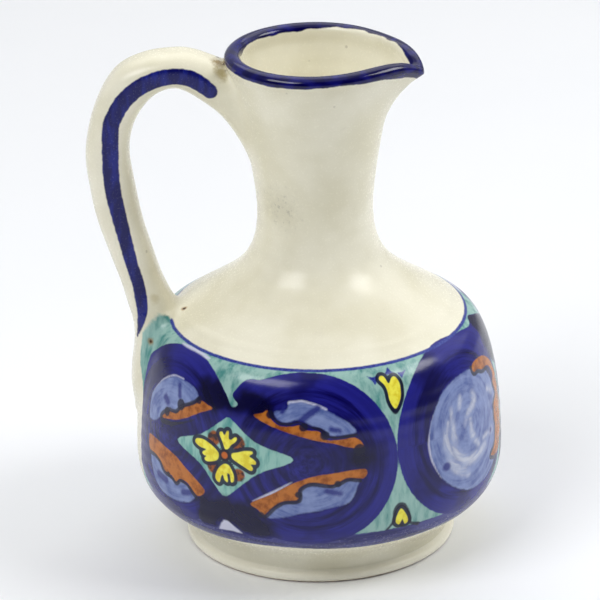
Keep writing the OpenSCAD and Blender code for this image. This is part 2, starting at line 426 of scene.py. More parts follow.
def joined(strap, body, z):
    """The handle's skin as it flows on to the body, and the same skin closed inside the wall."""
    reach = blend_radius(z)
    skin = soft_min(strap, body + UNDER_GLAZE, reach)
    return skin, np.maximum(np.maximum(skin, -(body + SKIRT_DEPTH)), strap - reach - SKIRT_EXTRA)


def handle_fields(points):
    x, y, z = points[:, 0], points[:, 1], points[:, 2]
    body = body_field(np.hypot(x, y), z) - hand_wobble(np.arctan2(x, -y), z)
    return joined(strap_field(strap_place(-x, z), y), body, z)


def field_slope(points, pick):
    slope = np.empty_like(points)
    for k in range(3):
        move = np.zeros(3)
        move[k] = SLOPE_STEP
        ahead, back = handle_fields(points + move)[pick], handle_fields(points - move)[pick]
        slope[:, k] = (ahead - back) / (2 * SLOPE_STEP)
    return slope


GRID = ((-68.5, -3), (-19.8, 20), (31, 153))     # what the handle's grid spans in x, y and z
PITCH = 0.62
TABLE_R, TABLE_Z, TABLE_STEP = (0, 75), (30, 155), 0.4


def handle_grid():
    """Field values on a grid over the handle, worked out plane by plane. The distance from the body
    is read from a table of the section's plane."""
    xs, ys, zs = (np.arange(*span, PITCH) for span in GRID)
    gx, gz = np.meshgrid(xs, zs, indexing="ij")
    place = [v.reshape(gx.shape) for v in strap_place(-gx.ravel(), gz.ravel())]
    tr, tz = np.meshgrid(np.arange(*TABLE_R, TABLE_STEP), np.arange(*TABLE_Z, TABLE_STEP), indexing="ij")
    table = body_field(tr.ravel(), tz.ravel()).reshape(tr.shape)
    values = np.empty((len(xs), len(ys), len(zs)))
    for j, y in enumerate(ys):
        fr, fz = np.hypot(gx, y) / TABLE_STEP, (gz - TABLE_Z[0]) / TABLE_STEP
        i0, k0 = fr.astype(int), fz.astype(int)
        fr, fz = fr - i0, fz - k0
        body = ((1 - fr) * (1 - fz) * table[i0, k0] + fr * (1 - fz) * table[i0 + 1, k0]
                + (1 - fr) * fz * table[i0, k0 + 1] + fr * fz * table[i0 + 1, k0 + 1])
        body -= hand_wobble(np.arctan2(gx, -y), gz)
        values[:, j, :] = joined(strap_field(place, np.full_like(gx, y)), body, gz)[1]
    return xs, ys, zs, values


def surface_net(xs, ys, zs, values):
    """One vertex in each grid cell that the surface crosses, and a quad across each crossed edge."""
    inside = values < 0
    corners = [(i, j, k) for i in (0, 1) for j in (0, 1) for k in (0, 1)]
    shape = tuple(n - 1 for n in values.shape)

    def corner(array, c):
        return array[c[0]:c[0] + shape[0], c[1]:c[1] + shape[1], c[2]:c[2] + shape[2]]

    count = sum(corner(inside, c).astype(int) for c in corners)
    cells = (count > 0) & (count < 8)
    total = np.zeros(shape + (3,))
    hits = np.zeros(shape)
    for a in corners:
        for axis in range(3):
            if a[axis]:
                continue
            b = tuple(v + (k == axis) for k, v in enumerate(a))
            va, vb = corner(values, a), corner(values, b)
            crossed = (va < 0) != (vb < 0)
            t = np.where(crossed, va / np.where(va == vb, 1, va - vb), 0)
            hits += crossed
            for k in range(3):
                total[..., k] += crossed * (a[k] + (t if k == axis else 0))
    index = np.full(shape, -1)
    index[cells] = np.arange(cells.sum())
    where = np.argwhere(cells)
    local = total[cells] / hits[cells][:, None]
    pitch = np.array([xs[1] - xs[0], ys[1] - ys[0], zs[1] - zs[0]])
    points = np.array([xs[0], ys[0], zs[0]]) + (where + local) * pitch
    faces = []
    for axis in range(3):
        u, v = (axis + 1) % 3, (axis + 2) % 3
        n = list(values.shape)
        cut = [slice(1, n[0] - 1), slice(1, n[1] - 1), slice(1, n[2] - 1)]
        cut[axis] = slice(0, n[axis] - 1)
        ahead = list(cut)
        ahead[axis] = slice(1, n[axis])
        a, b = inside[tuple(cut)], inside[tuple(ahead)]
        starts = np.array([c.start for c in cut])
        for sign, crossed in ((1, a & ~b), (-1, ~a & b)):
            at = np.argwhere(crossed) + starts
            quad = []
            for du, dv in ((-1, -1), (0, -1), (0, 0), (-1, 0)):
                cell = at.copy()
                cell[:, u] += du
                cell[:, v] += dv
                quad.append(index[cell[:, 0], cell[:, 1], cell[:, 2]])
            quad = np.stack(quad, 1)
            faces.append(quad if sign > 0 else quad[:, ::-1])
    return points, np.vstack(faces)


def cut_mesh(source, co, normal, keep_positive):
    """A closed copy of one side of a bmesh, cut by a plane and capped."""
    part = source.copy()
    geometry = part.verts[:] + part.edges[:] + part.faces[:]
    cut = bmesh.ops.bisect_plane(part, geom=geometry, dist=1e-5, plane_co=co, plane_no=normal,
                                 clear_inner=keep_positive, clear_outer=not keep_positive)
    rim = [e for e in cut["geom_cut"] if isinstance(e, bmesh.types.BMEdge)]
    bmesh.ops.contextual_create(part, geom=rim)
    return part


def build_handle():
    """The three lengths of the handle as one skin that flows on to the body, cut at the joints."""
    points, faces = surface_net(*handle_grid())
    for _ in range(3):      # bring the net's points on to the surface
        value = handle_fields(points)[1]
        slope = field_slope(points, 1)
        move = value[:, None] * slope / np.maximum((slope ** 2).sum(1), 0.3)[:, None]
        size = np.linalg.norm(move, axis=1, keepdims=True)
        points = points - move * np.minimum(1, 0.3 / np.maximum(size, 1e-9))
    whole = bmesh.new()
    made = [whole.verts.new(p) for p in points]
    for face in faces:
        whole.faces.new([made[v] for v in face])
    low = STRAP[TAIL_START]
    low_mid = Vector((-(low[0] + low[2]) / 2, 0, (low[1] + low[3]) / 2))
    low_side = Vector((-(low[0] - low[2]), 0, low[1] - low[3])).normalized()
    low_normal = low_side.cross(Vector((0, 1, 0)))
    if low_normal.z < 0:
        low_normal = -low_normal
    top_mid = Vector((-STRAP[ROOT_END][0], 0, 145))
    tail = cut_mesh(whole, low_mid, low_normal, False)
    upper = cut_mesh(whole, low_mid, low_normal, True)
    strap = cut_mesh(upper, top_mid, Vector((1, 0, 0)), False)
    root = cut_mesh(upper, top_mid, Vector((1, 0, 0)), True)
    return {"handle_tail": tail, "handle_strap": strap, "handle_root": root}


def bmesh_piece(name, source, paint):
    source.verts.ensure_lookup_table()
    points = np.array([v.co for v in source.verts])
    faces = [[v.index for v in f.verts] for f in source.faces]
    skin, closed = handle_fields(points)
    slope = field_slope(points, 0)
    normals = slope / np.maximum(np.linalg.norm(slope, axis=1, keepdims=True), 1e-9)
    on_skin = np.abs(skin) < 0.05
    smooth = [len(f) <= 4 and all(on_skin[v] for v in f) for f in faces]
    source.free()
    return make_object(name, points, faces, corner_list(points, normals, faces, smooth), paint(points))


# ---------------------------------------------------------------- painting
# The decoration is painted on the unrolled band: x along the belly and c up the wall, in mm.
# Each layer is kept on the mesh as the distance to its edge, negative where the paint is.
FAR = 6.0
AROUND = 5.0               # distances are worked out this far round each shape
LAYERS = ("window", "dark", "pale", "sky", "swirl", "cobalt", "orange", "rust", "line", "yellow", "core",
          "rust_dot", "ink")


def smooth_path(points, closed=False, per=5):
    """Points of a smooth curve through the given ones; extra columns such as width are carried along."""
    p = np.array(points, float)
    n = len(p)
    out = []
    for i in range(n if closed else n - 1):
        beside = [p[(i + k) % n if closed else min(max(i + k, 0), n - 1)] for k in (-1, 0, 1, 2)]
        out += [through(*beside, t) for t in np.arange(per) / per]
    if not closed:
        out.append(p[-1])
    return np.array(out)


def segment_distance(q, a, b):
    """Distance from each of q to each segment a-b, and how far along it the nearest place is."""
    ab = b - a
    t = np.einsum("nk,mk->nm", q, ab) - (a * ab).sum(1)
    t = np.clip(t / np.maximum((ab * ab).sum(1), 1e-9), 0, 1)
    near = a[None] + t[..., None] * ab[None]
    return np.linalg.norm(q[:, None] - near, axis=2), t


def stroke_distance(q, line):
    """Distance from each of q to the edge of a stroke whose width is the line's third column."""
    d, t = segment_distance(q, line[:-1, :2], line[1:, :2])
    return (d - (line[:-1, 2] * (1 - t) + line[1:, 2] * t) / 2).min(1)


def within(distance):
    """The mesh keeps distances up to FAR to either side of an edge."""
    return np.clip(distance, -FAR, FAR)


class Painter:
    """Distances to the edges of the paint for points at (x, c) on the unrolled band."""

    def __init__(self, x, c):
        self.x, self.c = x, c
        self.layers = {}

    def local(self, x0, c0):
        return np.stack([(self.x - x0 + LAP / 2) % LAP - LAP / 2, self.c - c0], 1)

    def put(self, layer, pick, distance):
        if layer not in self.layers:
            self.layers[layer] = np.full(len(self.x), FAR)
        self.layers[layer][pick] = np.minimum(self.layers[layer][pick], distance)

    def near(self, q, points):
        low, high = points.min(0) - AROUND, points.max(0) + AROUND
        return np.where(((q > low) & (q < high)).all(1))[0]

    def blob(self, layer, points, at=(0, 0), closed_per=5):
        """A filled shape with a smooth outline through the points."""
        q = self.local(*at)
        line = smooth_path(points, True, closed_per)
        pick = self.near(q, line)
        if not len(pick):
            return
        a, b = line, np.roll(line, -1, 0)
        d, _ = segment_distance(q[pick], a, b)
        x, y = q[pick, 0][:, None], q[pick, 1][:, None]
        crossing = (a[:, 1] > y) != (b[:, 1] > y)
        rise = np.where(a[:, 1] == b[:, 1], 1e-9, b[:, 1] - a[:, 1])
        inside = (crossing & (x < a[:, 0] + (y - a[:, 1]) * (b[:, 0] - a[:, 0]) / rise)).sum(1) % 2 == 1
        d = d.min(1)
        self.put(layer, pick, np.where(inside, -d, d))

    def stroke(self, layer, points, width, at=(0, 0)):
        """A brush stroke along a smooth path, with one width or one for each point."""
        q = self.local(*at)
        widths = np.broadcast_to(width, len(points))
        line = smooth_path(np.column_stack([points, widths]))
        pick = self.near(q, line[:, :2])
        if not len(pick):
            return
        self.put(layer, pick, stroke_distance(q[pick], line))

    def dot(self, layer, centre, radius, at=(0, 0), flat=1.0):
        q = self.local(*at) - centre
        pick = np.where(np.abs(q).max(1) < radius + AROUND)[0]
        self.put(layer, pick, np.hypot(q[pick, 0], q[pick, 1] / flat) - radius)


DISC_R = 26.5
PAIRS = (-28.0, 127.0)         # middles of the pairs of overlapping medallions
PAIR_C = 54.0
IN_PAIR = ((-22.0, 54.5), (24.5, 54.0))      # centres of the two, from the middle of the pair
SINGLES = (50.0, 203.5)        # middles of the single medallions
SINGLE_C = 55.5
SINGLE_EXTRA = 0.5
BUDS = (23.0, 176.7)
JOINT_X = 80.0                 # where the first single medallion meets the next pair
GROUND_LOW = 29.5
WASH_LOW, WASH_TOP = 24.0, 31.0
LINE_HALF = 0.5
HANDLE_X = -LAP / 4
DISC_GAP, LINE_GAP = 12.6, 10.3   # distance that medallions and line keep from the handle's middle
# The band stops beside the handle: height on the band and distance from the handle's middle
HANDLE_GAP = ((57, 13.6), (60, 12.2), (63, 11.2), (67, 9.2), (70, 8.4), (75, 8.6), (78, 10))


def line_height(x):
    """The thin blue line on the shoulder edge; it climbs a little towards the handle."""
    return 82.0 - 0.9 * np.cos((x - 15) / UNROLL_R)


def paint_flower(art, at):
    """Four lobed yellow petals round an orange dot, in the middle of a diamond."""
    for petal in (
            [(-2, 0.3), (-4.5, 2.1), (-7.6, 3.1), (-10.2, 2.7), (-10.5, 1.4), (-8.4, 0.5), (-6.2, 0.4),
             (-7.8, -0.7), (-7.2, -1.6), (-6.2, -1.6), (-7, -2.5), (-6.2, -3.2), (-4.2, -2.8), (-2.3, -1.8)],
            [(2.3, 1), (4.3, 1.7), (6.4, 2.5), (8.7, 2.7), (9, 2), (7.8, 1.2), (9.2, 0.4), (10, -0.4),
             (9.8, -1.2), (8.3, -1.3), (9.1, -2.4), (8.5, -3.3), (6.4, -2.4), (3.8, -1.2), (2.5, -0.4)],
            [(0.2, 1.8), (-0.8, 3.8), (-2.1, 6.3), (-1.1, 6.9), (-0.3, 5.8), (0.4, 7.4), (1.1, 7.3),
             (1.2, 5.4), (1.9, 5), (3.2, 6.1), (3.9, 5.8), (3.5, 4.7), (2, 3.4), (1.4, 2.4)],
            [(-0.1, -2.6), (-1.7, -4), (-2.8, -6), (-3, -7.4), (-2.4, -8.4), (-1.5, -8.6), (-1, -6.6),
             (-0.4, -6.1), (0, -7.4), (0.9, -8.1), (1.3, -7.6), (0.9, -5.4), (1.8, -5.6), (2.2, -7.8),
             (3.1, -7.4), (3.1, -5.5), (2.2, -3.6), (1.3, -2.6)]):
        art.blob("yellow", petal, at, 4)
    for x, c, size in ((-3.9, 4.3, 2.2), (4.2, 4.4, 2.3), (-3.8, -4.3, 2.0), (4.6, -5.2, 2.0)):
        art.dot("rust", (x, c), size, at)
    art.dot("pale", (6, -4.9), 0.8, at)
    art.dot("pale", (3.6, -6.9), 0.6, at)
    art.dot("core", (0, 0), 1.9, at)
    art.dot("rust_dot", (0, 0), 1.0, at)


def paint_leaves(art, at):
    """The orange leaves and light blue clouds in the four corners of a pair of medallions."""
    for shape in (
            [(-34.6, -4.5), (-30, -4), (-24.5, -4.6), (-19, -5.8), (-13, -8.9), (-7.4, -12.8),
             (-10, -15.4), (-12.2, -14), (-14, -12.4), (-17.2, -12.2), (-19, -13.8), (-21, -12.4),
             (-24.5, -12.2), (-27, -10), (-30.5, -9), (-34, -8.8)],
            [(-26.8, 3.6), (-20, 5.2), (-15.2, 7.3), (-10, 10.3), (-5.8, 12.4), (-8, 13.2), (-10.6, 13.8),
             (-12.6, 12.2), (-14.8, 11), (-17.8, 9.4), (-20, 7.2), (-23.8, 6.6), (-26, 5)],
            [(8.2, 12.9), (10.8, 13.9), (12.4, 15), (13.4, 12.8), (16.2, 10.8), (20.2, 10.8), (22.4, 11.2),
             (24.4, 9.8), (28, 9.4), (29.4, 7.2), (33, 6.7), (38.5, 7), (40.8, 4.3), (37.6, 4.1),
             (32, 5.7), (24, 7.5), (15, 10)],
            [(7.9, -13.4), (14, -10), (20.2, -6.2), (26, -4), (31, -3.2), (40.8, -2.5), (40.5, -5.3),
             (36, -4.8), (33.4, -5.9), (31, -6.6), (26.2, -5.8), (23.4, -6.6), (21.8, -8.2), (21.6, -11.2),
             (17.4, -11.9), (14.4, -14), (11.7, -16.8), (10, -15.3)]):
        art.blob("orange", shape, at)
    for shape in (
            [(-35, 1), (-35.2, 5.5), (-34.6, 8.6), (-30, 13.6), (-24.7, 16.7), (-18.7, 17.4), (-13.6, 16.3),
             (-11.7, 14.4), (-13.4, 12.6), (-17.9, 10), (-20.2, 7.8), (-24.3, 6.6), (-27.4, 4), (-31, 1.2)],
            [(-33, -9), (-30, -9.6), (-26, -11), (-23.4, -13), (-18.9, -14), (-16, -13), (-13, -14.3),
             (-11, -15.8), (-14, -18.5), (-20, -20), (-27, -19.5), (-31.5, -15.5)],
            [(14.6, 14.5), (18.4, 15.6), (18.8, 17.1), (22.2, 17.8), (26, 17), (28.4, 16.3), (32.3, 14.2),
             (36.8, 11.4), (38.8, 8.8), (35.4, 8), (30.6, 8.4), (29.4, 10), (26, 11.2), (22.2, 12.8),
             (18.4, 11.8), (16, 12.4)],
            [(12.6, -17.2), (14.2, -14.6), (18, -12.5), (22, -11.8), (22.6, -8.4), (24.6, -6.6),
             (29, -6.4), (31, -7.4), (33.2, -6.2), (38.8, -5.6), (38.2, -8.4), (36.4, -12), (33, -13.2),
             (28, -14.4), (22, -15.6), (17, -17)]):
        art.blob("sky", shape, at)
    for path, width in (([(-20.6, 15.6), (-19.4, 12.4)], 1.6), ([(-26.4, 10), (-24.8, 9)], 2.2),
                        ([(27.6, 16), (25.4, 14.6), (22.8, 12.6)], 2.0), ([(31.5, 10), (34, 9.4)], 1.4),
                        ([(-28, -14.5), (-24, -15)], 2.4), ([(30, -8.4), (33.5, -9.4)], 1.6),
                        ([(17.5, 16.4), (17, 14.8)], 1.4), ([(-16, -16), (-13, -15.2)], 2.0)):
        art.stroke("cobalt", path, width, at)
    for x, c, size in ((-24.6, 6.2, 1.4), (-18.4, 10.3, 1.7), (-11.2, 13.6, 1.1), (13.3, 13.8, 1.2),
                       (23.4, 10.6, 1.3), (29.6, 8.2, 1.4), (39.6, 3.4, 1.7), (21.8, -9.6, 1.0),
                       (33, -6.4, 1.0), (-22.6, -12.6, 0.9), (10.8, -16.8, 1.0)):
        art.dot("ink", (x, c), size, at)
    art.stroke("ink", [(-26.8, 2.6), (-22, 3.4), (-17, 5.2), (-12, 7.6)], [1.4, 1.2, 0.8, 0.4], at)
    art.stroke("pale", [(33.2, -12.4), (36.2, -10.8)], [0.5, 1.2], at)
    art.stroke("pale", [(-17, -13.4), (-14.4, -13.8)], [0.9, 0.5], at)
    art.stroke("pale", [(-33.8, 9.4), (-29.5, 14.2), (-24.4, 17.2), (-19.4, 17.6)], 0.4, at)
    art.stroke("pale", [(19, 17.4), (23, 18), (27, 17), (30, 15.6)], [0.9, 0.7, 0.7, 0.9], at)
    art.stroke("pale", [(8.4, -12.8), (14, -9.6), (20, -5.8)], [0.2, 0.7, 0.2], at)


def paint_single(art, at):
    """The light blue swirl with its orange crescent, inside a single medallion."""
    heart = [(8, 14.2), (-1, 14.8), (-8.3, 12.8), (-12.1, 9.4), (-15.3, 4.4), (-16.2, -1.6), (-15.1, -7),
             (-11.8, -13.1), (-6.2, -17.6), (0.5, -20.5), (8.7, -20.5), (16, -17.5), (20, -10), (21, 0),
             (17, 10)]
    art.blob("sky", heart, at)
    art.stroke("pale", [(-13.8, 7.2), (-16.3, 0), (-15.6, -6), (-12.6, -12.4)], [0.2, 0.8, 0.8, 0.2], at)
    art.blob("orange", [(8, 15), (12, 15.6), (17, 14.8), (22.3, 11.6), (25.6, 6), (26.6, -1.5), (26, -9.5),
                        (23, -14.5), (18.5, -16.8), (13, -15), (16.4, -13.2), (18.2, -8.5), (17.8, -4),
                        (18.6, -1), (22, 1.2), (20.6, 5), (22.4, 7.4), (19, 11), (14, 11.6), (11, 12.8),
                        (8.2, 12.9)], at)
    for x, c, size in ((13.6, -7.2, 0.9), (17, -1.4, 0.9), (19.4, 6.4, 0.8)):
        art.dot("cobalt", (x, c), size, at)
    for path, width in (
            ([(-8.7, 3.2), (-9.9, -1.4), (-8.7, -6.9), (-6.1, -11.6), (-1.1, -14.8)], [1, 2, 2.4, 2.6, 1.6]),
            ([(-6.5, 6.5), (-6.8, -2.4), (-5.8, -7), (-2.2, -10.4), (3.4, -11.3), (9, -10)],
             [0.8, 1.8, 2.2, 2.4, 3, 2]),
            ([(4.6, 7.4), (4.6, 5.3), (1, 3), (-1, 0.5)], [2, 2, 1.4, 0.6]),
            ([(-1.9, 8.5), (-3.1, 6.4)], 1.2), ([(8.1, -7.2), (14.5, -7.3)], [0.8, 1.4]),
            ([(1.5, 1), (2, -4), (5, -8)], [0.8, 1.6, 1.2]), ([(14.6, 5.6), (18, 3.4)], 1.0)):
        art.stroke("swirl", path, width, at)
    art.dot("cobalt", (-10.4, -9.6), 1.6, at, 0.8)


def paint_buds(art, x0):
    """The two little yellow buds between medallions, over and under the place where they touch."""
    top, low = (x0, 74.0), (x0, 35.0)
    art.blob("yellow", [(-3.2, 2.6), (-2.6, 3.6), (-1.3, 3.2), (-0.3, 1), (1.1, 2.5), (2.4, 2.6), (3.4, 0.7),
                        (3.3, -1.7), (2.5, -4.3), (0.6, -6.5), (-0.9, -4), (-1.2, -0.8), (-1.9, 1)], top)
    art.stroke("ink", [(-1.9, -0.3), (-1.6, -3), (-0.7, -5.6), (0.5, -7.4), (1.9, -6.1), (3.4, -3.5),
                       (4.2, -0.5), (4, 1.5)], [0.3, 0.5, 0.8, 1.3, 0.7, 0.6, 0.7, 0.3], top)
    art.blob("line", [(-7.2, 4.2), (-5, 3.6), (-3.3, 4), (-3.8, 2.6), (-4.8, 1.3), (-5.6, 2.6)], top)
    art.blob("line", [(0.9, 5.9), (0, 4.6), (-0.8, 3.8), (1, 3.5), (3, 3.3), (1.8, 4.4)], top)
    art.blob("line", [(3.6, 3.6), (5.4, 3.4), (7, 3.8), (5.6, 2.6), (4.8, 1.5), (4.2, 2.4)], top)
    art.blob("yellow", [(0.4, 2.4), (-0.9, 0.3), (-1.1, -1.8), (0.1, -2.9), (1, -1.5), (1.9, -3.1),
                        (2.9, -2.2), (2, 0.4)], low)
    art.stroke("ink", [(-3.6, -3.9), (-1.7, -1.2), (-1.6, 1.7), (-0.2, 3.6), (1.7, 3), (3.2, -0.5),
                       (3.6, -3), (6.5, -4.4)], [0.8, 0.9, 1, 1.4, 1.1, 0.9, 0.9, 1.4], low)
    art.stroke("ink", [(1, -1.5), (0.9, -3.4)], [0.5, 1.4], low)


def paint_band(azimuth, c):
    """All the layers of the painted band, and the brush's direction inside the medallions."""
    x = UNROLL_R * azimuth
    art = Painter(x, c)
    discs, nearest = np.full(len(x), 1e3), np.full(len(x), 1e3)
    brush = np.zeros((len(x), 2))

    def from_centre(x0, c0):
        """Distance from a medallion's centre; the brush goes round the nearest one."""
        nonlocal nearest
        q = art.local(x0, c0)
        away = np.hypot(q[:, 0], q[:, 1])
        closer = away < nearest
        nearest = np.where(closer, away, nearest)
        brush[closer] = np.stack([away, DISC_R * np.arctan2(q[:, 1], q[:, 0])], 1)[closer]
        return away

    for middle in PAIRS:
        left, right = (from_centre(middle + x0, c0) - DISC_R for x0, c0 in IN_PAIR)
        discs = np.minimum(discs, soft_min(left, right, 2.5, 2))
    for middle in SINGLES:
        discs = np.minimum(discs, from_centre(middle, SINGLE_C) - DISC_R - SINGLE_EXTRA)
    for name in LAYERS:
        art.put(name, slice(0, 0), FAR)
    # everything stops beside the handle, and the line climbs a little there
    beside = np.abs((x - HANDLE_X + LAP / 2) % LAP - LAP / 2)
    over_line = c - line_height(x) - 0.8 * np.clip((14 - beside) / 5, 0, 1)
    gap = np.interp(c, *zip(*HANDLE_GAP)) - beside
    art.layers["disc"] = np.maximum(within(discs), within(DISC_GAP - beside))
    art.layers["ground"] = within(np.maximum(np.maximum(GROUND_LOW - c, over_line), gap))
    art.put("line", slice(None), np.maximum(np.abs(over_line) - LINE_HALF, LINE_GAP - beside))
    low = WASH_LOW - (np.abs(x + 45) < 31) * np.cos((x + 45) / 31 * math.pi / 2) - 0.4 * np.sin(x / 9)
    art.layers["wash"] = within(np.maximum(low - c, c - WASH_TOP))
    for middle in PAIRS:
        at = (middle, PAIR_C)
        diamond = [(-18.5, -0.3), (-9, 4.2), (-1.5, 10.2), (0, 11), (1.8, 10.3), (9.5, 5), (20.5, 1),
                   (10, -4.2), (1.5, -11.8), (-0.5, -12.7), (-2.2, -11.8), (-9, -4.8)]
        art.blob("window", diamond, at)
        art.blob("disc", [(1, 17), (1.6, 19.8), (4, 22.4), (6.2, 23.2), (9.5, 23.4), (16, 25.6), (24, 26.4),
                          (20, 20), (8, 14)], at)
        art.blob("dark", [(-11.5, 20), (-5.5, 20.5), (1, 17.5), (4.2, 19.6), (10.5, 18.2), (14, 14.6),
                          (8.4, 13.4), (0.7, 13), (-8.2, 12.8), (-12, 16)], at)
        art.blob("disc", [(-10, -16), (0, -13.4), (10, -16), (15, -22), (12.5, -25.4), (5, -24.6), (0, -22),
                          (-5, -24.6), (-10, -24.4)], at)
        art.blob("dark", [(-9.9, -15.4), (-6.8, -13.8), (0, -13.8), (8.1, -13.6), (10.1, -17), (14.5, -21.5),
                          (12.5, -25.2), (5, -24.2), (1, -21.4), (-2.2, -20.8), (-4.6, -24.6),
                          (-10, -22.6)], at)
        art.dot("dark", (40, 1), 2.6, at)
        art.blob("pale", [(-1.2, -20.8), (0.4, -21), (2.2, -22.6), (4.2, -24.6), (3.2, -24.7), (0.5, -24.5),
                          (-2.8, -24.9), (-3.8, -24.9), (-3, -23.4), (-1.7, -21.4)], at)
        art.blob("pale", [(-29, 26.6), (-22, 27.4), (-17, 27.2), (-12, 26.2), (-13, 25.6), (-19, 26.3),
                          (-26, 26.2)], at)
        paint_leaves(art, at)
        paint_flower(art, (middle - 0.5, 53.7))
    for middle in SINGLES:
        paint_single(art, (middle, SINGLE_C))
    for x0 in BUDS:
        paint_buds(art, x0)
    # where a single medallion meets the next pair, the joint is brushed over as inside a pair
    art.blob("disc", [(6, 25.3), (12, 25.4), (16, 24.7), (20, 23.9), (24, 24.1), (26, 20.5), (27, 10.5),
                      (20, 14.5), (10, 21.5)], (SINGLES[0], SINGLE_C))
    for c0, side in ((75.8, 1), (34, -1)):
        blot = [(-7.4, 1.5), (-5.8, 4.5), (-2.8, 4.9), (1, 3.2), (4.4, 1.8), (7.4, 0), (9, -5), (5, -10),
                (0, -12.5), (-5, -9)]
        for layer in ("disc", "dark"):
            art.blob(layer, [(x1, side * c1) for x1, c1 in blot], (JOINT_X, c0))
    return art.layers, brush


# Edges of the blue on the rolled rim: azimuth, distance along the wall from where the roll begins
RIM_OUTSIDE = ((-3, 2.2), (-1.2, 2.6), (-0.9, 2.2), (-0.55, 1.8), (0.1, 2.1), (0.3, 2.4), (0.55, 2.0),
               (0.8, 1.5), (1.08, 0), (1.35, 0.4), (1.7, 1.8), (2.4, 2.4))
RIM_INSIDE = ((-2.93, 9.6), (-2.2, 9.2), (-1.75, 10.2), (-1, 9), (0, 8.6), (1, 8.5), (1.5, 8.4), (1.8, 7.6),
              (2.04, 7.4), (2.5, 7.9), (2.9, 8.1), (3.12, 8.9))


def paint_rim(azimuth, s):
    """Distance to the edge of the blue on the rolled rim, which is brushed on by hand."""
    wave = 0.16 * np.sin(7 * azimuth) + 0.12 * np.sin(17 * azimuth + 1) + 0.08 * np.sin(31 * azimuth)
    low, high = [np.interp(azimuth, *zip(*edge), period=2 * math.pi) for edge in (RIM_OUTSIDE, RIM_INSIDE)]
    along = s - AT["roll"]
    return within(np.maximum(low + wave / 2 - along, along - high - wave))


# Middle line of the stripe on each flank of the handle: distance from the axis, height, width
STRIPE = [(29.3, 140.5, 4.4), (32.1, 142.8, 4.8), (35.6, 144.6, 4.9), (40.5, 145, 4.9), (45.5, 143.8, 4.9),
          (49.9, 141.6, 4.9), (53.9, 137.9, 4.9), (56.5, 133.8, 4.8), (58, 129.2, 4.8), (58.3, 117, 4.7),
          (57.9, 110.8, 4.6), (56.8, 104.6, 4.4), (53.5, 89, 3.6), (51.6, 81.9, 3.6), (50.6, 75, 3.4),
          (51, 70.5, 2.2), (52.4, 64.6, 0.4)]
STRIPE_OUT = 4.5           # how far from the handle's middle plane the two stripes begin


def paint_stripe(points):
    q = np.stack([-points[:, 0], points[:, 2]], 1)
    return within(np.maximum(stroke_distance(q, smooth_path(STRIPE)), STRIPE_OUT - np.abs(points[:, 1])))


def nearest_on_wall(points):
    """Azimuth and s of the nearest place on the outside of the body."""
    azimuth = np.arctan2(points[:, 0], -points[:, 1])
    q = np.stack([np.hypot(points[:, 0], points[:, 1]), points[:, 2]], 1)
    line = SECTION[OUTER]
    out = np.empty(len(q))
    for lo in range(0, len(q), CHUNK):
        part = q[lo:lo + CHUNK]
        out[lo:lo + CHUNK] = ((part[:, None] - line[None]) ** 2).sum(2).argmin(1)
    return azimuth, S_LINE[OUTER][out.astype(int)]


def band_fields(azimuth, c):
    layers, brush = paint_band(azimuth, c)
    layers["brush_out"], layers["brush_on"] = brush[:, 0], brush[:, 1]
    layers["stripe"] = np.full(len(azimuth), FAR)
    return layers


def rim_fields(azimuth, c):
    return {"rim": paint_rim(azimuth, c + BAND_ZERO), "stripe": np.full(len(azimuth), FAR)}


def tail_fields(points):
    azimuth, s = nearest_on_wall(points)
    layers = band_fields(azimuth, s - BAND_ZERO)
    layers["stripe"] = paint_stripe(points)
    rise = body_field(np.hypot(points[:, 0], points[:, 1]), points[:, 2])
    for name, most in (("disc", 0.5), ("line", 1.3), ("ground", 5.5)):      # how far up the handle each runs
        layers[name] = within(np.maximum(layers[name], rise - most))
    return layers


def root_fields(points):
    azimuth, s = nearest_on_wall(points)
    r = np.hypot(points[:, 0], points[:, 1])
    away = np.abs(body_field(r, points[:, 2]))
    return {"rim": paint_rim(azimuth, s) + 3 * np.clip(away - 0.35, 0, None), "stripe": paint_stripe(points)}


def strap_fields(points):
    return {"rim": np.full(len(points), FAR), "stripe": paint_stripe(points)}


# ---------------------------------------------------------------- glaze materials
def srgb(r, g, b):
    def linear(v):
        v /= 255
        return v / 12.92 if v <= 0.04045 else ((v + 0.055) / 1.055) ** 2.4
    return (linear(r), linear(g), linear(b), 1.0)


